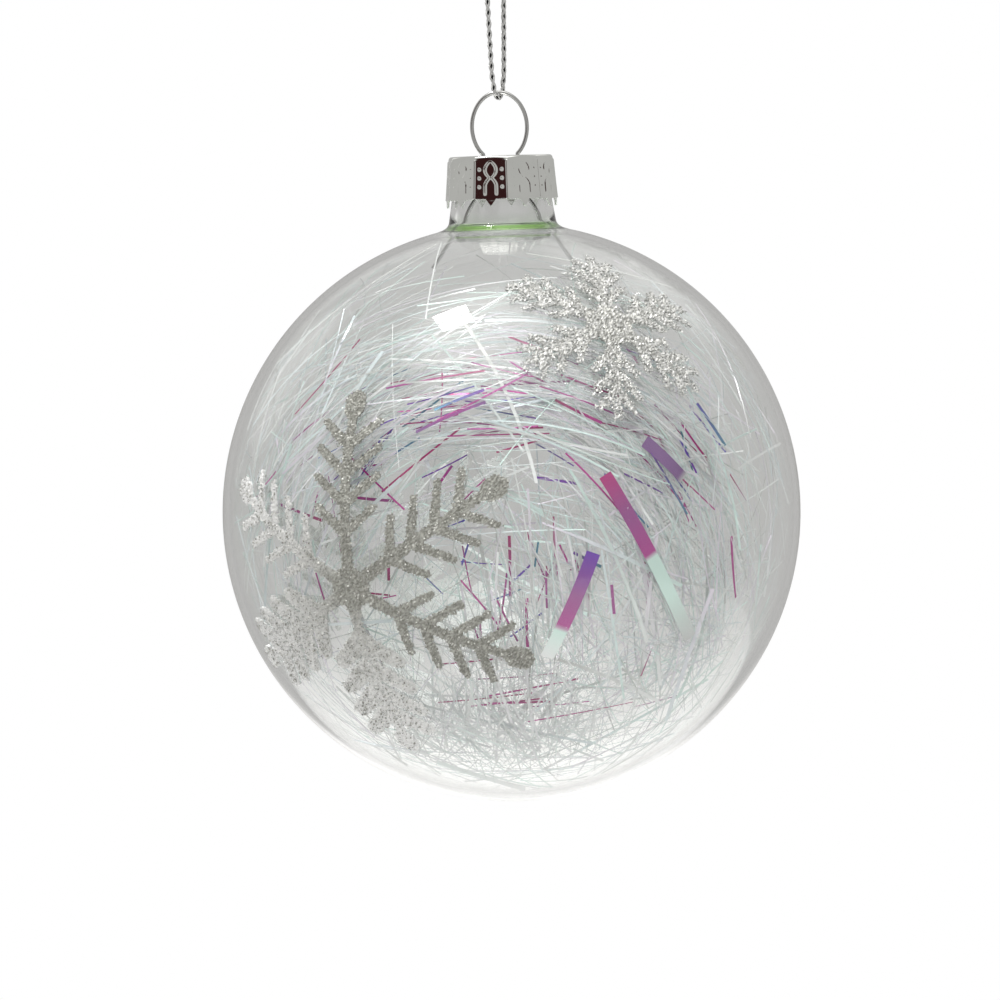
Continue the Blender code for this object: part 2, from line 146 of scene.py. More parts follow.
def smooth_route(route, count):
    """Points spread along a Catmull-Rom curve through the route's points."""
    route = np.asarray(route, float)
    knots = np.vstack([2 * route[0] - route[1], route, 2 * route[-1] - route[-2]])
    along = np.linspace(0, len(route) - 1, count)
    k = np.minimum(along.astype(int), len(route) - 2)
    t = (along - k)[:, None]
    a, b, c, d = knots[k], knots[k + 1], knots[k + 2], knots[k + 3]
    return 0.5 * (2 * b + (c - a) * t + (2 * a - 5 * b + 4 * c - d) * t**2 + (3 * b - a - 3 * c + d) * t**3)


def running_length(points):
    """How far along its line each point is."""
    return np.concatenate([[0], np.cumsum(np.linalg.norm(np.diff(points, axis=0), axis=1))])


def even_steps(points, step):
    """The same line with points one step apart."""
    points = np.asarray(points, float)
    run = running_length(points)
    spots = np.linspace(0, run[-1], max(3, int(round(run[-1] / step)) + 1))
    return np.stack([np.interp(spots, run, points[:, i]) for i in range(3)], axis=1)


def line_frames(points, first_side):
    """Side and lift directions along a line, turning as little as they can."""
    tangents = unit(np.gradient(points, axis=0))
    sides = np.empty_like(points)
    side = np.asarray(first_side, float)
    for i, tangent in enumerate(tangents):
        side = side - tangent * (side @ tangent)
        side = side / np.linalg.norm(side)
        sides[i] = side
    return sides, np.cross(tangents, sides)


def swept_mesh(points, across, lift, half_width, half_thick, sides):
    """A closed tube of oval section along a line whose sideways and upward directions are given."""
    angles = 2 * math.pi * np.arange(sides) / sides
    rings = (
        points[:, None]
        + across[:, None] * (np.cos(angles)[None, :, None] * half_width)
        + lift[:, None] * (np.sin(angles)[None, :, None] * half_thick)
    )
    return rings.reshape(-1, 3), tube_faces(len(points), sides)


def tube_mesh(points, radius, sides=8, first_side=(1, 0, 0)):
    """A closed round tube along a line."""
    points = np.asarray(points, float)
    across, lift = line_frames(points, first_side)
    return swept_mesh(points, across, lift, radius, radius, sides)


def ring_pairs(start, sides):
    """Each two neighbours on a ring of points that begins at a given index."""
    return [(start + j, start + (j + 1) % sides) for j in range(sides)]


def tube_faces(count, sides):
    faces = []
    for i in range(count - 1):
        faces += [(a, b, b + sides, a + sides) for a, b in ring_pairs(i * sides, sides)]
    faces.append(tuple(range(sides - 1, -1, -1)))
    faces.append(tuple(range((count - 1) * sides, count * sides)))
    return faces


def merge(parts):
    """Joins several (verts, faces) pairs in one."""
    verts, faces, start = [], [], 0
    for part_verts, part_faces in parts:
        verts.append(np.asarray(part_verts))
        faces += [tuple(i + start for i in f) for f in part_faces]
        start += len(part_verts)
    return np.vstack(verts), faces


# ---- material helpers


def new_material(name):
    material = bpy.data.materials.new(name)
    material.use_nodes = True
    return material, material.node_tree, material.node_tree.nodes["Principled BSDF"]


def fill(tree, socket, value):
    """Sets a socket's own value, or links it where the value is another node's output."""
    if isinstance(value, bpy.types.NodeSocket):
        tree.links.new(value, socket)
    else:
        socket.default_value = value


def feed(tree, made, **values):
    """Fills inputs of a node by name."""
    for key, value in values.items():
        fill(tree, made.inputs[key.replace("_", " ")], value)


def node(tree, kind, *inputs, **values):
    """A new node: its first inputs in order, then its settings and other inputs by name."""
    made = tree.nodes.new(kind)
    for key, value in values.items():
        if hasattr(made, key):
            setattr(made, key, value)
        else:
            feed(tree, made, **{key: value})
    for socket, value in zip(made.inputs, inputs):
        fill(tree, socket, value)
    return made


def object_place(tree):
    return node(tree, "ShaderNodeTexCoord").outputs["Object"]


def noise_bump(tree, shader, scale, distance, strength, detail=3.0):
    """Fine unevenness of the surface, in the object's own coordinates."""
    noise = node(tree, "ShaderNodeTexNoise", Scale=scale, Detail=detail, Vector=object_place(tree))
    height = noise.outputs["Fac"]
    bump = node(tree, "ShaderNodeBump", Strength=strength, Distance=distance, Height=height)
    feed(tree, shader, Normal=bump.outputs["Normal"])
    return noise


def ramp(tree, factor, stops):
    made = node(tree, "ShaderNodeValToRGB", factor)
    elements = made.color_ramp.elements
    while len(elements) < len(stops):
        elements.new(0.5)
    for element, (position, colour) in zip(elements, stops):
        element.position = position
        element.color = (*colour, 1.0)
    return made.outputs["Color"]


def ring_distance(tree, radius, height):
    """How far a point of the object is from a level ring round its axis."""
    split = node(tree, "ShaderNodeSeparateXYZ", object_place(tree))
    flat = node(tree, "ShaderNodeCombineXYZ", split.outputs["X"], split.outputs["Y"])
    reach = node(tree, "ShaderNodeVectorMath", flat.outputs[0], operation="LENGTH")
    section = node(tree, "ShaderNodeCombineXYZ", X=reach.outputs["Value"], Z=split.outputs["Z"])
    ring = (radius, 0.0, height)
    far = node(tree, "ShaderNodeVectorMath", section.outputs[0], ring, operation="DISTANCE")
    return far.outputs["Value"]


def clear_glass():
    """Clear glass with a green tint where the neck's foot is seen edge-on."""
    material, tree, shader = new_material("clear_glass")
    distance = ring_distance(tree, NECK_FOOT_RADIUS, up(GREEN_RING_UP))
    span = node(tree, "ShaderNodeMapRange", Value=distance, From_Max=0.0030)
    clear, pale, green = (0.988, 0.992, 0.990), (0.88, 0.93, 0.87), (0.18, 0.39, 0.07)
    stops = [(0.0, green), (0.20, green), (0.36, pale), (0.9, clear)]
    tint = ramp(tree, span.outputs["Result"], stops)
    feed(tree, shader, Base_Color=tint, Transmission_Weight=1.0, Roughness=0.0, IOR=1.50)
    noise_bump(tree, shader, 60.0, 0.00004, 0.25, detail=1.0)
    rays = node(tree, "ShaderNodeLightPath").outputs
    soft_rays = (rays["Is Shadow Ray"], rays["Is Diffuse Ray"])
    let_through = node(tree, "ShaderNodeMath", *soft_rays, operation="MAXIMUM")
    open_path = node(tree, "ShaderNodeBsdfTransparent", (0.98, 0.99, 0.985, 1.0))
    layers = (let_through.outputs[0], shader.outputs[0], open_path.outputs[0])
    mix = node(tree, "ShaderNodeMixShader", *layers)
    feed(tree, tree.nodes["Material Output"], Surface=mix.outputs[0])
    return material


def metal(name, colour, roughness, bump_scale, bump_distance):
    """Bright metal whose shade and roughness vary a little with the same noise."""
    material, tree, shader = new_material(name)
    noise = noise_bump(tree, shader, bump_scale, bump_distance, 0.35)
    uneven = noise.outputs["Fac"]
    shade = ramp(tree, uneven, [(0.3, [c * 0.93 for c in colour]), (0.7, colour)])
    least, most = roughness * 0.7, roughness * 1.4
    rough = node(tree, "ShaderNodeMapRange", Value=uneven, To_Min=least, To_Max=most)
    feed(tree, shader, Base_Color=shade, Roughness=rough.outputs["Result"], Metallic=1.0)
    return material


def painted(name, attribute, roughness, metallic, alpha=1.0):
    """A surface whose colour is stored on the mesh, piece by piece."""
    material, tree, shader = new_material(name)
    colour = node(tree, "ShaderNodeAttribute", attribute_name=attribute)
    shade = colour.outputs["Color"]
    feed(tree, shader, Base_Color=shade, Roughness=roughness, Metallic=metallic, Alpha=alpha)
    return material, tree, shader, colour


def glitter_material(name):
    """Glitter grains: the stored colour's alpha says how shiny each one is."""
    material, tree, shader, colour = painted(name, "grain", 0.32, 0.2)
    shine = colour.outputs["Alpha"]
    rough = node(tree, "ShaderNodeMapRange", Value=shine, To_Min=0.5, To_Max=0.12)
    feed(tree, shader, Roughness=rough.outputs["Result"])
    return material


def film_material(name, alpha, metallic):
    """Thin iridescent film: its colour is stored on each shred, and its surface is finely uneven."""
    material, tree, shader, _ = painted(name, "tint", 0.22, metallic, alpha)
    noise_bump(tree, shader, 900.0, 0.00002, 0.3)
    return material


def cord_material():
    """Silvery yarn whose stored colour is broken up by fine fibres."""
    material, tree, shader = new_material("silver_cord")
    noise = noise_bump(tree, shader, 9000.0, 0.00003, 0.5, detail=2.0)
    shade = ramp(tree, noise.outputs["Fac"], [(0.30, (0.55, 0.55, 0.54)), (0.62, (1.0, 1.0, 1.0))])
    yarn = node(tree, "ShaderNodeAttribute", attribute_name="yarn").outputs["Color"]
    blend = {"data_type": "RGBA", "blend_type": "MULTIPLY"}
    mix = node(tree, "ShaderNodeMix", **blend, Factor=1.0, A=yarn, B=shade)
    feed(tree, shader, Base_Color=mix.outputs["Result"], Metallic=0.8, Roughness=0.28)
    return material


# ---- camera


def make_camera():
    """A long lens almost level with the ball, turned a little so that the ornament leans left."""
    distance, focal_length_mm = 1.0, 259.9
    elevation = math.radians(2.0)
    lean = math.radians(1.8)
    ball_right, ball_down = 0.00160, 0.00166
    toward = Vector((0, math.cos(elevation), -math.sin(elevation)))
    plain_right = Vector((1, 0, 0))
    plain_up = plain_right.cross(toward)
    right = plain_right * math.cos(lean) - plain_up * math.sin(lean)
    top = plain_right * math.sin(lean) + plain_up * math.cos(lean)
    aim = Vector((0, 0, BALL_Z)) - right * ball_right + top * ball_down
    camera = bpy.data.objects.new("camera", bpy.data.cameras.new("camera"))
    camera.data.lens = focal_length_mm
    camera.data.sensor_width = 36.0
    camera.data.clip_start = 0.05
    camera.data.clip_end = 20.0
    placed = Matrix((right, top, -toward)).transposed().to_4x4()
    placed.translation = aim - toward * distance
    camera.matrix_world = placed
    bpy.context.scene.collection.objects.link(camera)
    bpy.context.scene.camera = camera


# ---- cord


def strand_route():
    """The left strand, from beside the knot down past the hook to the wire's eye."""
    return [
        (-0.00115, 0.0, 0.0005),
        (-0.00170, 0.0, -0.0007),
        (-0.00192, -0.0001, -0.0024),
        (-0.00168, -0.00025, -0.0070),
        (-0.00118, -0.00050, -0.0135),
        (-0.00098, -0.00075, -0.0200),
        (-0.00082, -0.00095, -0.0248),
        (-BIGHT_SPREAD, -BIGHT_RADIUS, WIRE_TOP_Z + 0.0010),
    ]


def bight_route():
    """The turn of the cord under the top of the wire's eye, from front left to back right."""
    lowest = WIRE_TOP_Z - WIRE_RADIUS - CORD_RADIUS - 0.00012
    centre = lowest + BIGHT_RADIUS
    share = np.linspace(0, 1, 9)
    angle = math.pi * share
    y, z = -BIGHT_RADIUS * np.cos(angle), centre - BIGHT_RADIUS * np.sin(angle)
    return np.stack([BIGHT_SPREAD * (2 * share - 1), y, z], axis=1)


def braid(points, first_side=(1, 0, 0), radius=CORD_RADIUS):
    """Two pairs of flat yarns wound both ways round a dark core, over and under each other."""
    across, lift = line_frames(points, first_side)
    run = running_length(points)
    yarn_half, yarn_thick, weave = 0.44 * radius, 0.22 * radius, 0.13 * radius
    middle = radius - yarn_thick - weave
    parts, colours = [], []
    core = tube_mesh(points, middle * 0.72, 8, first_side)
    parts.append(core)
    colours.append(np.tile((0.02, 0.02, 0.022, 1.0), (len(core[0]), 1)))
    for way in (1, -1):
        for start in (0.0, math.pi):
            angle = start + way * 2 * math.pi * run / BRAID_PITCH + math.pi / 2
            out = across * np.cos(angle)[:, None] + lift * np.sin(angle)[:, None]
            reach = middle + way * weave * np.cos(4 * math.pi * run / BRAID_PITCH)
            line = points + out * reach[:, None]
            direction = unit(np.gradient(line, axis=0))
            wide = unit(np.cross(direction, out))
            flat = np.cross(wide, direction)
            yarn = swept_mesh(line, wide, flat, yarn_half, yarn_thick, 8)
            parts.append(yarn)
            colours.append(np.tile((0.80, 0.80, 0.79, 1.0), (len(yarn[0]), 1)))
    verts, faces = merge(parts)
    return verts, faces, np.vstack(colours)


def make_cord(material):
    left = smooth_route(strand_route(), 90)
    right = left[::-1] * np.array([-1, -1, 1])
    route = even_steps(np.vstack([left[:-1], smooth_route(bight_route(), 60), right[1:]]), BRAID_STEP)
    verts, faces, colours = braid(route)
    cord = add_piece("cord_braid", verts, faces, material)
    paint(cord, "yarn", colours)
    knot = make_knot(material)
    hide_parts("cord_strand_left", "cord_strand_right", "cord_bight")
    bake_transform(cord)


def make_knot(material):
    """An overhand knot of both strands, with their cut tails above it."""
    core = [
        (-0.00115, 0.0, 0.0005),
        (-0.00085, -0.00030, 0.00095),
        (0.00010, -0.00062, 0.00120),
        (0.00085, -0.00030, 0.00160),
        (0.00070, 0.00045, 0.00205),
        (-0.00015, 0.00062, 0.00215),
        (-0.00080, 0.00020, 0.00175),
        (-0.00055, -0.00050, 0.00150),
        (0.00020, -0.00055, 0.00190),
        (0.00045, -0.00010, 0.00260),
        (0.00055, 0.00005, 0.00350),
        (0.00070, 0.00010, 0.00440),
    ]
    other = [(-x, -y, z if z < 0.003 else z - 0.00035) for x, y, z in core]
    parts, colours = [], []
    for route in (core, other):
        line = even_steps(smooth_route(route, 120), BRAID_STEP)
        verts, faces, tint = braid(line, (0, 1, 0), radius=0.9 * CORD_RADIUS)
        parts.append((verts, faces))
        colours.append(tint)
    verts, faces = merge(parts)
    knot = add_piece("cord_knot_tied", verts, faces, material)
    paint(knot, "yarn", np.vstack(colours))
    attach(knot, "cord")
    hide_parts("cord_knot")
    return knot


# ---- spring wire


def add_wire(name, line, step, material):
    verts, faces = tube_mesh(even_steps(line, step), WIRE_RADIUS, 14, (0, 1, 0))
    return add_piece(name, verts, faces, material)


def make_wire(material):
    """The oval eye above the cap and the two legs below it, drawn from one bright wire."""
    left = [(-FOOT_X, 0, up(CAP_TOP - 0.00025)), (-FOOT_X, 0, up(CAP_TOP + 0.00002))]
    arc = []
    for i in range(49):
        angle = math.pi - LOOP_END + (2 * LOOP_END - math.pi) * i / 48
        height = LOOP_CENTRE + LOOP_HALF_HEIGHT * math.sin(angle)
        arc.append((LOOP_HALF_WIDTH * math.cos(angle), 0, up(height)))
    right = [(-x, y, z) for x, y, z in reversed(left)]
    loop = add_wire("hanger_eye", smooth_route(left + arc + right, 300), 0.00018, material)
    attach(loop, "hanger")
    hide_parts("wire_loop")
    for name, side in (("left", -1), ("right", 1)):
        low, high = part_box(f"spring_leg_{name}")
        tip_x = high[0] if side > 0 else low[0]
        reach = abs(tip_x) - FOOT_X - WIRE_RADIUS * math.cos(LEG_SPLAY)
        top, bend, tip = high[2], up(LEG_BEND_UP), low[2] + 0.5 * WIRE_RADIUS
        route = [
            (side * FOOT_X, 0, top),
            (side * FOOT_X, 0, 0.5 * (top + bend)),
            (side * (FOOT_X + 0.0001), 0, bend),
            (side * (FOOT_X + 0.35 * reach), 0, bend - 0.35 * (bend - tip)),
            (side * (FOOT_X + reach), 0, tip),
        ]
        leg = add_wire(f"hanger_leg_{name}", smooth_route(route, 120), 0.00020, material)
        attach(leg, f"leg_{name}")
        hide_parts(f"spring_leg_{name}")


# ---- crown cap


def panel_relief(across, down):
    """How far the stamped pattern stands out of a panel: a vase line open at its foot, dots and folds.

    across runs from -1 to 1 over the panel's width, and down from 0 at the top edge to 1 at the skirt.
    """
    inside = np.clip((down - PATTERN_TOP) / 0.74, 0, 0.74)
    half = 0.28 * np.abs(np.sin(2 * math.pi * inside)) ** 0.8 + 0.05
    line = np.exp(-(((np.abs(across) - half) / 0.055) ** 2))
    line = line / (1 + np.exp(-(down - PATTERN_TOP) / 0.012)) / (1 + np.exp((down - PATTERN_END) / 0.012))
    relief = LINE_HEIGHT * line
    for level in (0.31, 0.51, 0.71):
        far = ((np.abs(across) - 0.66) / 0.066) ** 2 + ((down - level) / 0.028) ** 2
        relief = relief + DOT_HEIGHT * np.exp(-far)
    fold = np.exp(-(((1 - np.abs(across)) / 0.075) ** 2)) * np.clip((down - 0.05) / 0.08, 0, 1)
    return relief + FOLD_HEIGHT * fold


def cap_verts(inset, columns, relief_share):
    """Rings of points from the middle of the plate down to the skirt's toothed edge."""
    half_panel = math.pi / CAP_PANELS
    angles = CAP_TURN + 2 * math.pi * np.arange(columns) / columns + half_panel
    local = (angles - CAP_TURN + half_panel) % (2 * half_panel) - half_panel
    across = local / half_panel
    facet = math.cos(half_panel * 0.80) / np.cos(local * 0.80)
    rim = CAP_RIM_BEND
    rings = []
    for share in np.linspace(0.03, 1.0, 12):
        radius = share * (CAP_TOP_RADIUS - rim)
        rings.append((np.full(columns, radius), np.full(columns, CAP_TOP - inset + 0.00004 * (1 - share))))
    for i in range(1, 7):
        turn = 0.5 * math.pi * i / 6
        bend = max(rim - inset, 0.0001)
        radius = CAP_TOP_RADIUS - rim + bend * math.sin(turn)
        height = CAP_TOP - rim + bend * math.cos(turn)
        rings.append((radius * (1 + (facet - 1) * i / 6), np.full(columns, height)))
    tooth = np.clip(1 - np.abs(across) / TOOTH_HALF, 0, 1) ** 0.9
    notch = 0.00012 * np.exp(-(((1 - np.abs(across)) / 0.10) ** 2))
    end = SKIRT_END - (SKIRT_END - TOOTH_TIP) * tooth + notch
    for i in range(1, SKIRT_ROWS + 1):
        down = i / SKIRT_ROWS
        height = (CAP_TOP - rim) * (1 - down) + end * down
        level = (CAP_TOP - height) / (CAP_TOP - SKIRT_END)
        radius = CAP_TOP_RADIUS + (CAP_SKIRT_RADIUS - CAP_TOP_RADIUS) * np.clip(level, 0, 1.1) ** 1.15
        flare = 0.00004 * np.exp(-(((1 - level) / 0.03) ** 2))
        relief = panel_relief(across, level) * relief_share
        rings.append(((radius + flare) * facet + relief - inset, height))
    verts = []
    for radius, height in rings:
        verts.append(np.stack([radius * np.sin(angles), -radius * np.cos(angles), up(height)], axis=1))
    return np.vstack(verts), len(rings)


def make_cap(material):
    columns = CAP_PANELS * PANEL_COLUMNS
    outer, rings = cap_verts(0.0, columns, 1.0)
    inner, _ = cap_verts(CAP_SHEET, columns, 0.9)
    faces = []
    for i in range(rings - 1):
        faces += [(a, a + columns, b + columns, b) for a, b in ring_pairs(i * columns, columns)]
    shift = len(outer)
    faces += [tuple(reversed([k + shift for k in f])) for f in faces]
    faces += [(a, a + shift, b + shift, b) for a, b in ring_pairs((rings - 1) * columns, columns)]
    faces.append(tuple(range(columns)))
    faces.append(tuple(range(shift + columns - 1, shift - 1, -1)))
    cap = add_piece("crown_cap", np.vstack([outer, inner]), faces, material)
    cut_foot_holes(cap)
    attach(cap, "cap")
    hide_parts("ornament_cap")


def cut_foot_holes(cap):
    """Cuts the two holes that the wire's feet pass through."""
    heights = [up(CAP_TOP + d) for d in (-0.0012, 0.0, 0.0012)]
    tubes = [tube_mesh([(x, 0, z) for z in heights], CAP_HOLE_RADIUS, 24) for x in (-FOOT_X, FOOT_X)]
    cutter = add_piece("foot_holes", *merge(tubes), cap.data.materials[0])
    cut = cap.modifiers.new("Foot holes", "BOOLEAN")
    cut.operation = "DIFFERENCE"
    cut.solver = "EXACT"
    cut.object = cutter
    bpy.context.view_layer.update()
    done = cap.evaluated_get(bpy.context.evaluated_depsgraph_get())
    mesh = bpy.data.meshes.new_from_object(done)
    cap.modifiers.remove(cut)
    cap.data = mesh
    bpy.data.objects.remove(cutter, do_unlink=True)


# ---- glass bulb

# Radius and height of the neck's section above the ball's centre, from its lip down to where it meets
# the ball, and of the inside from the bowl up to the lip.
NECK_OUTSIDE = [
    (0.00595, 0.04860), (0.00615, 0.04852), (0.00622, 0.04825), (0.00655, 0.0459), (0.00690, 0.0435),
    (0.00708, 0.0423), (NECK_FOOT_RADIUS, 0.0403), (0.00751, 0.03994), (0.00777, 0.03958), (0.00830, 0.03923),
]
NECK_INSIDE = [
    (0.00860, 0.03828), (0.00775, 0.03862), (0.00705, 0.03920), (0.00667, 0.04000), (0.00625, 0.0415),
    (0.00575, 0.0450), (0.00528, 0.04810), (0.00530, 0.04845), (0.00555, 0.04860),
]


def arc_section(radius, polar):
    """Radius and height of points on a circle, at angles from straight up."""
    return np.stack([radius * np.sin(polar), radius * np.cos(polar)], axis=1)


def bulb_section():
    """Half of the bulb's section: down the outside to the bottom, and back up the inside."""
    first = math.asin(BALL_START_RADIUS / BALL_RADIUS)
    ball = arc_section(BALL_RADIUS, np.linspace(first, math.pi, 116))
    inner_radius = BALL_RADIUS - WALL
    last = math.asin(BOWL_END_RADIUS / inner_radius)
    bowl = arc_section(inner_radius, np.linspace(math.pi, last, 104)) + (0, WALL_SHIFT)
    return np.vstack([smooth_route(NECK_OUTSIDE, 90), ball, bowl, smooth_route(NECK_INSIDE, 80)])


def make_bulb(material):
    """Turns the section round the axis; where it meets the axis, a ring is a single point."""
    turn = 2 * math.pi * np.arange(TURN_STEPS) / TURN_STEPS
    verts, rings = [], []
    for radius, height in bulb_section():
        angles = turn if radius > 1e-7 else turn[:1]
        rings.append(range(len(verts), len(verts) + len(angles)))
        verts += [(radius * math.sin(a), -radius * math.cos(a), up(height)) for a in angles]
    faces = []
    for above, below in zip(rings, rings[1:] + rings[:1]):
        for j, k in ring_pairs(0, TURN_STEPS):
            corners = [ring[i % len(ring)] for ring, i in ((above, j), (below, j), (below, k), (above, k))]
            face = tuple(dict.fromkeys(corners))
            if len(face) > 2:
                faces.append(face)
    bulb = add_piece("blown_bulb", verts, faces, material)
    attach(bulb, "ball")
    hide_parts("glass_bulb")


# ---- places on the ball


def on_sphere(azimuth_deg, elevation_deg):
    """Directions from the ball's centre: azimuth 0 is the front and grows towards +X."""
    azimuth, elevation = np.radians(azimuth_deg), np.radians(elevation_deg)
    flat = np.cos(elevation)
    return np.stack([np.sin(azimuth) * flat, -np.cos(azimuth) * flat, np.sin(elevation)], axis=-1)


def east_north(centre):
    east = unit(np.cross((0.0, 0.0, 1.0), centre))
    return east, np.cross(centre, east)


def wrap_on_sphere(u, v, centre, radius):
    """Lays flat points on the ball: u runs east and v north from the centre direction."""
    east, north = east_north(centre)
    distance = np.hypot(u, v)
    angle = distance / BALL_RADIUS
    heading = (east[None] * u[:, None] + north[None] * v[:, None]) / np.maximum(distance, 1e-9)[:, None]
    return (centre * np.cos(angle)[:, None] + heading * np.sin(angle)[:, None]) * np.reshape(radius, (-1, 1))


# ---- glitter snowflakes

FERN_STAR = {
    "radius": 0.0270,
    "hub": 0.0029,
    "stem": (0.00088, 0.00068),
    "branch": (0.00074, 0.00052),
    "angle": math.radians(54),
    "branches": [(0.0075, 0.0057), (0.0114, 0.0062), (0.0153, 0.0062), (0.0192, 0.0057)],
    "tip": 0.0017,
    "full_arms": (2, 3),
    "full_share": 2.1,
    "ragged": 0.00007,
    # The three arms on the left and at the bottom are thinned towards their tips and painted paler there:
    # painted light where the light falls brightest.
    "worn_and_lit_arms": (1, 2, 3),
    "worn": 0.14,
    "pale": 0.84,
    "sparkle": 0.012,
}
FIR_STAR = {
    "radius": 0.0150,
    "hub": 0.0032,
    "stem": (0.00110, 0.00060),
    "branch": (0.00095, 0.00045),
    "angle": math.radians(46),
    "branches": [(0.0046, 0.0042), (0.0078, 0.0046), (0.0108, 0.0036)],
    "tip": 0.0006,
    "full_arms": (),
    "full_share": 1.0,
    "ragged": 0.00018,
    "worn_and_lit_arms": (0, 1, 2, 3, 4, 5),
    "worn": 0.31,
    "pale": 0.20,
    "sparkle": 0.14,
}
GRAIN_CELL = 0.00021
GLUE_LIFT = 0.00002
GRAIN_LOW, GRAIN_HIGH = 0.00012, 0.00034


def star_strokes(design, turn_deg):
    """The snowflake as round-ended strokes: start, end, and the half width at each, laid flat."""
    strokes = [(np.zeros(2), np.array((1e-6, 0.0)), design["hub"], design["hub"])]
    for k in range(6):
        angle = math.radians(turn_deg) + k * math.pi / 3
        along = np.array((math.cos(angle), math.sin(angle)))
        side = np.array((-along[1], along[0]))
        tip = design["radius"] - design["tip"]
        share = design["full_share"] if k in design["full_arms"] else 1.0
        strokes.append((0 * along, along * tip, *design["stem"]))
        strokes.append((along * (tip - 0.4 * design["tip"]), along * tip, design["tip"], design["tip"]))
        foot_half, end_half = (share * half for half in design["branch"])
        for distance, length in design["branches"]:
            for way in (1, -1):
                out = along * math.cos(design["angle"]) + side * way * math.sin(design["angle"])
                foot = along * distance
                strokes.append((foot, foot + out * length, foot_half, end_half))
    return strokes


def star_cover(u, v, strokes):
    """Whether each flat point lies on one of the strokes."""
    inside = np.zeros(u.shape, bool)
    for start, end, first_half, last_half in strokes:
        along = end - start
        share = ((u - start[0]) * along[0] + (v - start[1]) * along[1]) / (along @ along)
        share = np.clip(share, 0, 1)
        far = np.hypot(u - start[0] - along[0] * share, v - start[1] - along[1] * share)
        inside |= far <= first_half + (last_half - first_half) * share
    return inside


def wear_and_lit_share(u, v, design, turn_deg):
    """How worn and how much paler each flat point is, from 0 by the hub to 1 at the tips of the worn and lit
    arms; on the large stars the paler colour is painted light.
    """
    arm = np.round((np.degrees(np.arctan2(v, u)) - turn_deg) / 60) % 6
    outwards = np.clip((np.hypot(u, v) - design["hub"]) / (design["radius"] - design["hub"]), 0, 1)
    return np.isin(arm, design["worn_and_lit_arms"]) * np.sqrt(outwards)


def star_cells(design, turn_deg, generator):
    """The cells of a fine lattice that the star covers, with no two of them touching only at a corner."""
    steps = int(2 * design["radius"] / GRAIN_CELL) + 6
    middle = (np.arange(steps) - 0.5 * (steps - 1)) * GRAIN_CELL
    u, v = np.meshgrid(middle, middle, indexing="ij")
    stray = generator.normal(0, design["ragged"], (2, steps, steps))
    cover = star_cover(u + stray[0], v + stray[1], star_strokes(design, turn_deg))
    cover &= generator.uniform(0, 1, cover.shape) >= design["worn"] * wear_and_lit_share(u, v, design, turn_deg)
    while True:
        a, b, c, d = cover[:-1, :-1], cover[1:, 1:], cover[1:, :-1], cover[:-1, 1:]
        falling = a & b & ~c & ~d
        rising = c & d & ~a & ~b
        if not (falling.any() or rising.any()):
            return cover, middle
        cover[1:, :-1] |= falling
        cover[:-1, :-1] |= rising


def plate_mesh(cover, middle, centre, generator):
    """A closed plate over the covered cells, laid on the glass, with its top rough with grains."""
    rows, columns = cover.shape
    corner = np.zeros((rows + 1, columns + 1), bool)
    for du in (0, 1):
        for dv in (0, 1):
            corner[du : du + rows, dv : dv + columns] |= cover
    index = np.full(corner.shape, -1)
    index[corner] = np.arange(corner.sum())
    i, j = np.nonzero(corner)
    shift = generator.uniform(-0.25 * GRAIN_CELL, 0.25 * GRAIN_CELL, (2, len(i)))
    u = middle[0] + (i - 0.5) * GRAIN_CELL + shift[0]
    v = middle[0] + (j - 0.5) * GRAIN_CELL + shift[1]
    top = BALL_RADIUS + generator.uniform(GRAIN_LOW, GRAIN_HIGH, len(i))
    bottom = np.full(len(i), BALL_RADIUS + GLUE_LIFT)
    verts = np.vstack([wrap_on_sphere(u, v, centre, top), wrap_on_sphere(u, v, centre, bottom)])
    flat = np.stack([u, v])
    ci, cj = np.nonzero(cover)
    quad = [index[ci, cj], index[ci + 1, cj], index[ci + 1, cj + 1], index[ci, cj + 1]]
    faces = [np.stack(quad, axis=1), np.stack(quad[::-1], axis=1) + len(i)]
    padded = np.pad(cover, 1)
    for k, (di, dj) in enumerate(((0, -1), (1, 0), (0, 1), (-1, 0))):
        open_side = ~padded[ci + 1 + di, cj + 1 + dj]
        p, q = quad[k][open_side], quad[(k + 1) % 4][open_side]
        faces.append(np.stack([q, p, p + len(i), q + len(i)], axis=1))
    return verts, np.vstack(faces), flat


def grain_mesh(centres, lift, size, generator):
    """One small eight-sided grain for each centre, tilted its own way."""
    count = len(centres)
    tilt = unit(lift + generator.normal(0, 0.42, (count, 3)))
    first = unit(np.cross(tilt, generator.normal(0, 1, (count, 3))))
    second = np.cross(tilt, first)
    half = (size * generator.uniform(0.62, 1.15, count))[:, None]
    offsets = [first * half, second * half * 0.9, -first * half, -second * half * 0.9]
    offsets += [tilt * half * 0.4, -tilt * half * 0.4]
    verts = np.stack([centres + offset for offset in offsets], axis=1)
    pattern = []
    for k in range(4):
        after = (k + 1) % 4
        pattern += [(k, after, 4), (after, k, 5)]
    faces = (np.array(pattern)[None] + 6 * np.arange(count)[:, None, None]).reshape(-1, 3)
    return verts.reshape(-1, 3), faces


def grain_colours(count, shades, sparkle_share, generator):
    shades = np.asarray(shades)
    colour = shades[generator.integers(0, len(shades), count)] * generator.uniform(0.88, 1.12, (count, 1))
    shine = generator.uniform(0, 0.45, count)
    sparkle = generator.uniform(0, 1, count) < sparkle_share
    colour[sparkle] = (0.95, 0.95, 0.90)
    shine[sparkle] = 1.0
    return np.column_stack([colour, shine])


def node_direction(name):
    """The direction from the ball's centre to the middle of a CAD node's box."""
    low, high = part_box(name)
    return unit(0.5 * (np.array(low) + np.array(high)) - BALL_CENTRE)


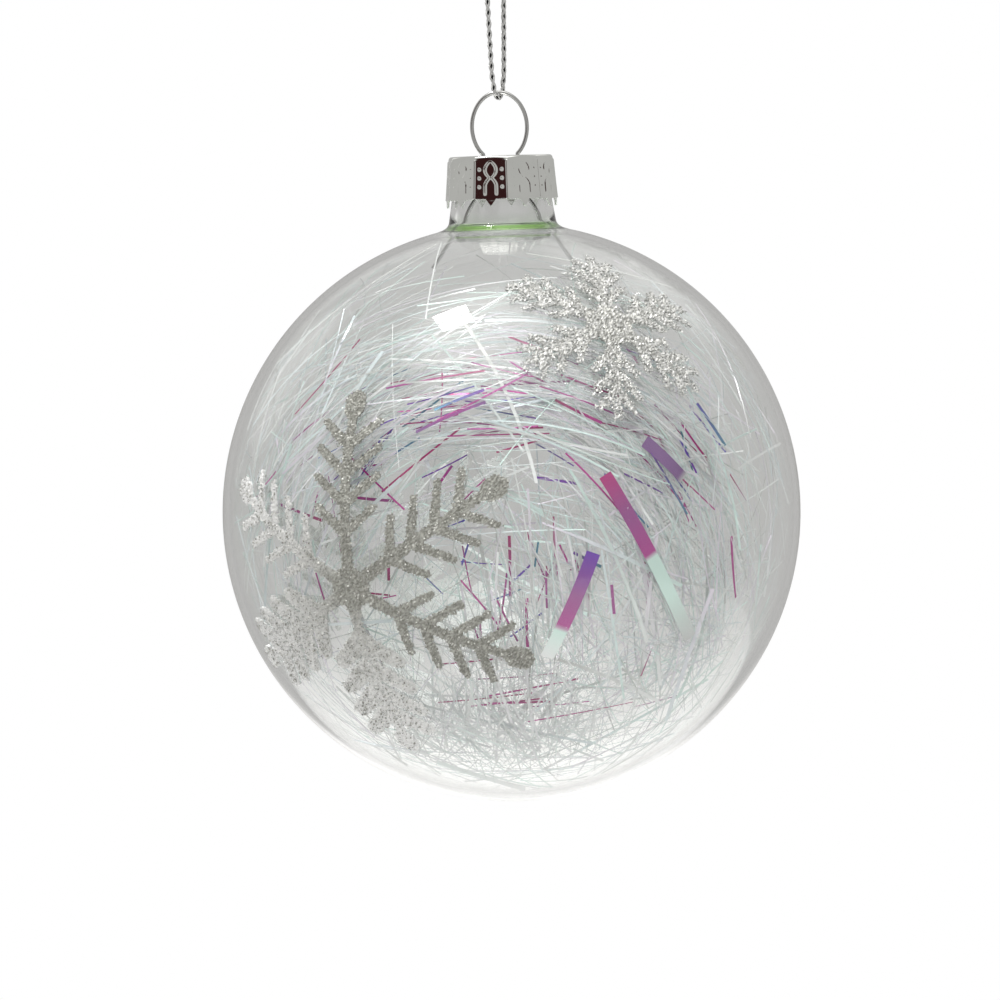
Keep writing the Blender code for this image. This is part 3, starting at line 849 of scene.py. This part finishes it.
def make_snowflake(name, design, turn, shades, material, seed):
    generator = rng(seed)
    centre = node_direction(f"snowflake_{name}")
    cover, middle = star_cells(design, turn, generator)
    verts, faces, flat = plate_mesh(cover, middle, centre, generator)
    tint = grain_colours(flat.shape[1], shades, design["sparkle"], generator)
    # Paler towards the tips of the chosen arms; on the large stars' left and bottom arms this is painted
    # light.
    tint[:, :3] += design["pale"] * wear_and_lit_share(*flat, design, turn)[:, None] * (1 - tint[:, :3])
    loose = int(0.16 * cover.sum())
    i, j = np.nonzero(cover)
    pick = generator.integers(0, len(i), loose)
    stray = generator.normal(0, 1.6 * design["ragged"] + 0.0001, (2, loose))
    lift = BALL_RADIUS + generator.uniform(GRAIN_HIGH, 1.25 * GRAIN_HIGH, loose)
    spots = wrap_on_sphere(middle[i[pick]] + stray[0], middle[j[pick]] + stray[1], centre, lift)
    grains, grain_faces = grain_mesh(spots, unit(spots), 0.00015, generator)
    grain_tint = grain_colours(loose, shades, 0.10 + design["sparkle"], generator)
    all_verts, all_faces = merge([(verts, faces), (grains, grain_faces)])
    flake = add_piece(f"glitter_star_{name}", all_verts + BALL_CENTRE, all_faces, material, smooth=False)
    paint(flake, "grain", np.vstack([tint, tint, np.repeat(grain_tint, 6, axis=0)]))
    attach(flake, "ball")
    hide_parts(f"snowflake_{name}")


def make_snowflakes():
    olive_shades = [(0.24, 0.24, 0.21), (0.30, 0.30, 0.27), (0.37, 0.37, 0.34), (0.46, 0.46, 0.42)]
    faded_shades = [(0.44, 0.44, 0.42), (0.52, 0.52, 0.50), (0.60, 0.60, 0.58), (0.70, 0.70, 0.68)]
    white_shades = [(0.25, 0.25, 0.23), (0.34, 0.34, 0.32), (0.45, 0.45, 0.43), (0.61, 0.61, 0.60)]
    olive, white = glitter_material("glitter_olive"), glitter_material("glitter_white")
    stars = [
        ("front_large", FERN_STAR, 90, olive_shades, olive, "glitter_olive", 10),
        ("back_large", FERN_STAR, 90, faded_shades, olive, "glitter_olive", 11),
        ("front_small", FIR_STAR, 18, white_shades, white, "glitter_white", 20),
        ("back_small", FIR_STAR, 40, white_shades, white, "glitter_white", 21),
    ]
    for name, design, turn, shades, material, slot, seed in stars:
        make_snowflake(name, design, turn, shades, material, seed)


# ---- film shreds

FILM_SHELL = BALL_RADIUS - WALL - 0.0005
SWIRL_AXIS = on_sphere(-3, -22)
SECTIONS = 9
FILM_THICK = 0.00003
SHRED_WIDTHS, SHRED_SHARES = [0.00009, 0.00013, 0.00019, 0.00030, 0.00048], [0.34, 0.32, 0.20, 0.11, 0.03]
SLIVER_WIDTHS, SLIVER_SHARES = [0.00018, 0.00026, 0.00040], [0.4, 0.4, 0.2]

PEARL = [(0.96, 0.97, 0.97), (0.90, 0.92, 0.91), (0.76, 0.93, 0.88)]
PEARL += [(0.87, 0.80, 0.90), (0.77, 0.85, 0.88), (0.64, 0.65, 0.63)]
# Whiter film shades for the shreds low in the ball: painted light for the bright glow at the bottom.
PEARL_WITH_PAINTED_LIGHT = [(0.97, 0.97, 0.97), (0.95, 0.96, 0.96), (0.88, 0.96, 0.94), (0.93, 0.91, 0.95)]
MAGENTA = [(0.42, 0.04, 0.17), (0.52, 0.06, 0.32), (0.36, 0.07, 0.28)]
VIOLET = [(0.22, 0.07, 0.42), (0.15, 0.12, 0.52), (0.10, 0.26, 0.36)]
MINT = (0.74, 0.94, 0.87)
WHITE = (0.95, 0.96, 0.96)

# Where film lies thick: name, count, (azimuth, elevation) and its spread in degrees, heading in degrees
# (none follows the swirl), fan in degrees, shortest and longest in millimetres, how straight it is
FILM_GROUPS = [
    ("sweep_top", 270, (-8, 30), (30, 10), None, 9, (12, 34), 0.2),
    ("sweep_right", 280, (34, 6), (14, 16), None, 12, (10, 30), 0.3),
    ("sweep_left", 150, (-48, 10), (16, 18), None, 26, (8, 22), 0.3),
    ("fan_middle", 110, (5, -14), (8, 8), -82, 12, (6, 15), 0.8),
    ("fan_low", 180, (2, -44), (16, 9), -88, 24, (7, 16), 0.8),
    ("drift_low", 280, (-16, -50), (26, 10), -70, 40, (6, 18), 0.7),
    ("straw_right", 210, (40, -28), (16, 14), -35, 48, (8, 24), 1.0),
]
SLIVER_GROUPS = [
    ("magenta", 30, (-14, 24), (20, 9), None, 12, (5, 14), 0.8),
    ("magenta", 18, (36, 10), (12, 16), None, 12, (4, 12), 0.8),
    ("magenta", 16, (6, -14), (8, 8), -80, 16, (3, 9), 0.9),
    ("magenta", 9, (12, -44), (14, 5), 8, 6, (8, 15), 0.7),
    ("magenta", 14, (-30, 2), (14, 14), -70, 40, (4, 12), 0.9),
    ("violet", 20, (-12, 20), (16, 8), None, 12, (5, 13), 0.8),
    ("violet", 12, (38, 12), (12, 12), None, 12, (4, 10), 0.8),
    ("violet", 9, (0, -10), (14, 8), -50, 40, (3, 7), 0.9),
]


def swirl_headings(centres, heading, fan, generator):
    """The way each shred runs: round the swirl's axis, or along one heading measured from the east."""
    east, north = east_north(centres)
    if heading is None:
        ways = unit(np.cross(centres, SWIRL_AXIS))
    else:
        angle = math.radians(heading)
        ways = east * math.cos(angle) + north * math.sin(angle)
    turn = generator.normal(0, math.radians(fan), (len(centres), 1))
    return unit(ways * np.cos(turn) + np.cross(centres, ways) * np.sin(turn))


def shred_lines(centres, ways, lengths, shells, straight, generator):
    """Lines that run along a shell inside the glass, bowed to one side, and straighter where stiff."""
    run = lengths[:, None] * np.linspace(-0.5, 0.5, SECTIONS)[None]
    angle = (run / shells[:, None])[..., None]
    curved = (centres[:, None] * np.cos(angle) + ways[:, None] * np.sin(angle)) * shells[:, None, None]
    level = centres[:, None] * shells[:, None, None] + ways[:, None] * run[..., None]
    bow = generator.normal(0, 5.0, (len(centres), 1)) * run**2
    lines = curved * (1 - straight) + level * straight
    lines = lines + np.cross(centres, ways)[:, None] * bow[..., None]
    reach = np.linalg.norm(lines, axis=2).max(axis=1)
    return lines * np.minimum(1, FILM_SHELL / reach)[:, None, None]


def shred_mesh(lines, widths, lean, twist, generator):
    """Closed thin ribbons along the lines, each tilted and twisted its own way."""
    count, sections, _ = lines.shape
    tangents = unit(np.gradient(lines, axis=1))
    outward = unit(unit(lines) + generator.normal(0, 1, (count, 1, 3)) * lean)
    across = unit(np.cross(tangents, outward))
    lift = np.cross(tangents, across)
    turn = (generator.uniform(-twist, twist, (count, 1)) * np.linspace(-0.5, 0.5, sections)[None])[..., None]
    across, lift = across * np.cos(turn) + lift * np.sin(turn), lift * np.cos(turn) - across * np.sin(turn)
    w, t = across * (widths[:, None, None] / 2), lift * (FILM_THICK / 2)
    corners = np.stack([lines + w + t, lines - w + t, lines - w - t, lines + w - t], axis=2)
    faces = []
    for s in range(sections - 1):
        for a in range(4):
            b = (a + 1) % 4
            faces.append((4 * s + a, 4 * s + b, 4 * s + 4 + b, 4 * s + 4 + a))
    end = 4 * (sections - 1)
    faces += [(3, 2, 1, 0), (end, end + 1, end + 2, end + 3)]
    faces = (np.array(faces)[None] + 4 * sections * np.arange(count)[:, None, None]).reshape(-1, 4)
    return corners.reshape(-1, 3), faces


def add_film(name, lines, widths, colours, material, slot, nodes, generator, lean=0.5, twist=1.2):
    verts, faces = shred_mesh(lines, widths, lean, twist, generator)
    film = add_piece(name, verts + BALL_CENTRE, faces, material, smooth=False)
    opaque = np.ones((*colours.shape[:2], 1))
    corner_colours = np.repeat(np.concatenate([colours, opaque], axis=2)[:, :, None], 4, axis=2)
    paint(film, "tint", corner_colours.reshape(-1, 4))
    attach(film, "ball")
    if nodes:
        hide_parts(*nodes)


def drifting_colours(shades, count, generator):
    """Each shred starts in one shade and drifts to another along its length."""
    shades = np.asarray(shades)
    first = shades[generator.integers(0, len(shades), count)]
    last = shades[generator.integers(0, len(shades), count)]
    t = np.linspace(0, 1, SECTIONS)[None, :, None]
    return first[:, None] * (1 - t) + last[:, None] * t


def group_lines(count, place, spread, heading, fan, lengths_mm, straight, generator):
    azimuth = generator.normal(place[0], spread[0], count)
    elevation = np.clip(generator.normal(place[1], spread[1], count), -84, 66)
    centres = on_sphere(azimuth, elevation)
    ways = swirl_headings(centres, heading, fan, generator)
    lengths = generator.uniform(*lengths_mm, count) / 1000
    shells = generator.uniform(0.86, 1.0, count) * FILM_SHELL
    return shred_lines(centres, ways, lengths, shells, straight, generator)


def all_round_lines(count, low, high, fan, generator):
    """Shreds spread evenly over every side of the ball."""
    azimuth = generator.uniform(-180, 180, count)
    elevation = np.degrees(np.arcsin(generator.uniform(-0.99, 0.90, count)))
    centres = on_sphere(azimuth, elevation)
    ways = swirl_headings(centres, None, fan, generator)
    lengths = generator.uniform(0.010, 0.032, count)
    shells = generator.uniform(low, high, count) * FILM_SHELL
    return shred_lines(centres, ways, lengths, shells, 0.6, generator)


def make_pearl_film(material):
    shred_nodes = [f"film_shred_{i:02d}" for i in range(1, 15)]
    generator = rng(30)
    groups = [("shell", all_round_lines(520, 0.93, 1.0, 42, generator))]
    groups.append(("inner", all_round_lines(200, 0.45, 0.9, 70, generator)))
    groups += [(name, group_lines(*rule, generator)) for name, *rule in FILM_GROUPS]
    for k, (name, lines) in enumerate(groups):
        nodes = shred_nodes[k :: len(groups)]
        widths = generator.choice(SHRED_WIDTHS, len(lines), p=SHRED_SHARES)
        # The low groups take the whiter shades, which are painted light.
        shades = PEARL_WITH_PAINTED_LIGHT if name in ("drift_low", "fan_low") else PEARL
        colours = drifting_colours(shades, len(lines), generator)
        add_film(f"film_{name}", lines, widths, colours, material, "film_pearl", nodes, generator)


def make_slivers(materials):
    """Narrow shreds caught at the angle where the film shows crimson, magenta, violet or blue."""
    generator = rng(40)
    shades = {"magenta": MAGENTA, "violet": VIOLET}
    for k, (tint, *rule) in enumerate(SLIVER_GROUPS):
        lines = group_lines(*rule, generator)
        widths = generator.choice(SLIVER_WIDTHS, len(lines), p=SLIVER_SHARES)
        colours = drifting_colours(shades[tint], len(lines), generator)
        looks = (widths, colours, materials[tint], f"film_{tint}", [])
        add_film(f"film_slivers_{k + 1}", lines, *looks, generator, lean=0.3, twist=0.5)


def strip_line(node_name, falls, bow, width):
    """A line on the film's shell between the corners of a CAD band's box, bowed to one side."""
    low, high = (np.array(corner) - BALL_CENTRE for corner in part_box(node_name))
    low, high = low + 0.4 * width, high - 0.4 * width
    start = np.array((low[0], high[2])) if falls else np.array((low[0], low[2]))
    end = np.array((high[0], low[2])) if falls else np.array((high[0], high[2]))
    t = np.linspace(0, 1, 4 * SECTIONS)[:, None]
    side = np.array((-(end - start)[1], (end - start)[0]))
    spots = start + (end - start) * t + side * bow * 4 * t * (1 - t)
    depth = np.sqrt(np.maximum(FILM_SHELL**2 - (spots**2).sum(axis=1), 0))
    return np.stack([spots[:, 0], -depth, spots[:, 1]], axis=1)


def strip_colours(stops, sections):
    shares = [share for share, _ in stops]
    shades = np.array([shade for _, shade in stops])
    t = np.linspace(0, 1, sections)
    return np.stack([np.interp(t, shares, shades[:, i]) for i in range(3)], axis=1)[None]


def make_strips(materials):
    """The few wide strips of film, which show their colours most strongly."""
    crimson, magenta, plum = (0.52, 0.05, 0.24), (0.50, 0.07, 0.33), (0.36, 0.10, 0.32)
    violet, lilac, grey = (0.20, 0.07, 0.50), (0.27, 0.14, 0.34), (0.62, 0.62, 0.62)
    front_stops = [(0, crimson), (0.24, plum), (0.49, magenta), (0.51, MINT), (0.74, MINT), (1, grey)]
    low_stops = [(0, WHITE), (0.26, MINT), (0.30, magenta), (0.6, plum), (1, violet)]
    right_stops = [(0, lilac), (0.9, lilac), (1, grey)]
    top_stops = [(0, lilac), (0.4, plum), (0.7, plum), (1, lilac)]
    strips = [
        ("front", "magenta", True, 0.02, 0.0019, front_stops),
        ("low", "violet", False, -0.02, 0.0019, low_stops),
        ("right", "violet", True, 0.02, 0.0018, right_stops),
        ("top", "magenta", False, 0.02, 0.0004, top_stops),
    ]
    generator = rng(50)
    for name, tint, falls, bow, width, stops in strips:
        band = f"film_band_{name}"
        line = strip_line(band, falls, bow, width)[None]
        colours = strip_colours(stops, line.shape[1])
        looks = (np.array([width]), colours, materials[tint], f"film_{tint}", [band])
        add_film(f"film_strip_{name}", line, *looks, generator, lean=0.0, twist=0.5)


def make_film():
    make_pearl_film(film_material("film_pearl", 0.68, 0.12))
    strong = {tint: film_material(f"film_{tint}", 0.9, 0.3) for tint in ("magenta", "violet")}
    make_strips(strong)
    make_slivers(strong)


# ---- floor, light and world


def make_floor():
    """A pale round floor well below the hanging ornament."""
    steps = 96
    radius, z = 0.42, BALL_Z - BALL_RADIUS - 0.14
    turn = 2 * math.pi * np.arange(steps) / steps
    ring = np.stack([radius * np.cos(turn), radius * np.sin(turn), np.full(steps, z)], axis=1)
    verts = np.vstack([ring, ring - np.array((0, 0, 0.004))])
    faces = [tuple(range(steps)), tuple(range(2 * steps - 1, steps - 1, -1))]
    faces += [(j, j + steps, k + steps, k) for j, k in ring_pairs(0, steps)]
    material, tree, shader = new_material("pale_floor")
    noise = noise_bump(tree, shader, 40.0, 0.0002, 0.1)
    shade = ramp(tree, noise.outputs["Fac"], [(0.3, (0.56, 0.56, 0.555)), (0.7, (0.60, 0.60, 0.595))])
    feed(tree, shader, Base_Color=shade, Roughness=0.7)
    floor = add_piece("floor", verts, faces, material, smooth=False)


def direction_glow(tree, direction, heading, inner_deg, outer_deg, value):
    """A soft round patch of light in the studio, by the angle from a heading."""
    dot = node(tree, "ShaderNodeVectorMath", direction, heading, operation="DOT_PRODUCT")
    edge, core = (math.cos(math.radians(angle)) for angle in (outer_deg, inner_deg))
    limits = {"From_Min": edge, "From_Max": core, "To_Max": value}
    smooth = {"interpolation_type": "SMOOTHSTEP"}
    shape = node(tree, "ShaderNodeMapRange", **smooth, Value=dot.outputs["Value"], **limits)
    return shape.outputs["Result"]


def summed_glows(tree, direction, patches):
    """The sum of several patches: azimuth, elevation, inner and outer angle in degrees, and strength."""
    total = None
    for azimuth, elevation, inner, outer, value in patches:
        heading = tuple(on_sphere(azimuth, elevation))
        glow = direction_glow(tree, direction, heading, inner, outer, value)
        total = glow if total is None else node(tree, "ShaderNodeMath", total, glow).outputs[0]
    return total


# What the glass and metal see: a grey room, brighter in some directions and dark in a few
STUDIO_GREY = 0.49
STUDIO_TINT = (1.0, 0.992, 0.972)
STUDIO_DARK = (0.035, 0.012, 0.012, 1.0)
STUDIO_GLOWS = [
    (-20, 76, 10, 34, 2.1),
    (150, 40, 6, 20, 0.5),
    (-135, 24, 5, 18, 0.4),
    (35, 52, 4, 14, 1.2),
    (180, -16, 2, 13.5, 0.9),
]
DARK_PATCHES = [(-24, 14, 12, 20, 1.0), (84, 14, 7, 12, 1.0), (-60, 14, 4, 9, 1.0)]


def make_world():
    """White to the camera; for everything else a grey studio with soft glows and a few dark patches."""
    world = bpy.data.worlds.new("studio")
    world.use_nodes = True
    bpy.context.scene.world = world
    tree = world.node_tree
    for old in list(tree.nodes):
        tree.nodes.remove(old)
    direction = node(tree, "ShaderNodeTexCoord").outputs["Generated"]
    glows = summed_glows(tree, direction, STUDIO_GLOWS)
    grey = node(tree, "ShaderNodeMath", glows, STUDIO_GREY)
    tinted = node(
        tree, "ShaderNodeVectorMath", STUDIO_TINT, operation="SCALE", Scale=grey.outputs[0]
    ).outputs[0]
    dark = summed_glows(tree, direction, DARK_PATCHES)
    shade = node(tree, "ShaderNodeMix", data_type="RGBA", Factor=dark, A=tinted, B=STUDIO_DARK)
    studio = node(tree, "ShaderNodeBackground", shade.outputs["Result"])
    white = node(tree, "ShaderNodeBackground", (1.0, 1.0, 1.0, 1.0), 1.0)
    seen = node(tree, "ShaderNodeLightPath").outputs["Is Camera Ray"]
    mix = node(tree, "ShaderNodeMixShader", seen, studio.outputs[0], white.outputs[0])
    node(tree, "ShaderNodeOutputWorld", mix.outputs[0])


def add_area_light(name, heading, distance, size, energy, shift=0.0):
    """A square light that faces the ball, moved sideways by the shift."""
    light = bpy.data.lights.new(name, "AREA")
    light.shape = "RECTANGLE"
    light.size, light.size_y = size
    light.energy = energy
    placed = bpy.data.objects.new(name, light)
    facing = Vector(heading.tolist()).to_track_quat("Z", "Y")
    placed.rotation_euler = facing.to_euler()
    placed.location = Vector((BALL_CENTRE + heading * distance).tolist()) + facing @ Vector((shift, 0, 0))
    placed.visible_transmission = False
    bpy.context.scene.collection.objects.link(placed)
    return placed


def make_lights():
    """Two window panes that the glass mirrors near its top, and soft lights that show in no mirror."""
    pane, gap = 0.15, 0.010
    for side in (-1, 1):
        shift = side * 0.25 * (pane + gap)
        add_area_light("window_pane", on_sphere(-81, 75), 0.9, (0.5 * (pane - gap), pane), 1.8, shift)
    for azimuth, elevation, energy in ((-10, 30, 2.8), (170, 30, 2.4), (-40, -50, 5.0)):
        soft = add_area_light("soft_light", on_sphere(azimuth, elevation), 0.8, (0.5, 0.5), energy)
        soft.visible_glossy = False


def set_light_paths():
    """Enough bounces for light to cross both walls of the glass and the film, and no caustics."""
    bpy.context.scene.view_settings.view_transform = "Standard"
    cycles = bpy.context.scene.cycles
    cycles.max_bounces = 20
    cycles.diffuse_bounces = 2
    cycles.glossy_bounces = 5
    cycles.transmission_bounces = 14
    cycles.transparent_max_bounces = 40
    cycles.caustics_reflective = False
    cycles.caustics_refractive = False


def main():
    make_camera()
    make_world()
    make_lights()
    set_light_paths()
    make_cord(cord_material())
    steel = metal("spring_steel", (0.60, 0.60, 0.59), 0.14, 700.0, 0.00001)
    chrome = metal("cap_chrome", (0.86, 0.87, 0.84), 0.06, 260.0, 0.00002)
    make_wire(steel)
    make_cap(chrome)
    make_bulb(clear_glass())
    make_snowflakes()
    make_film()
    make_floor()


main()
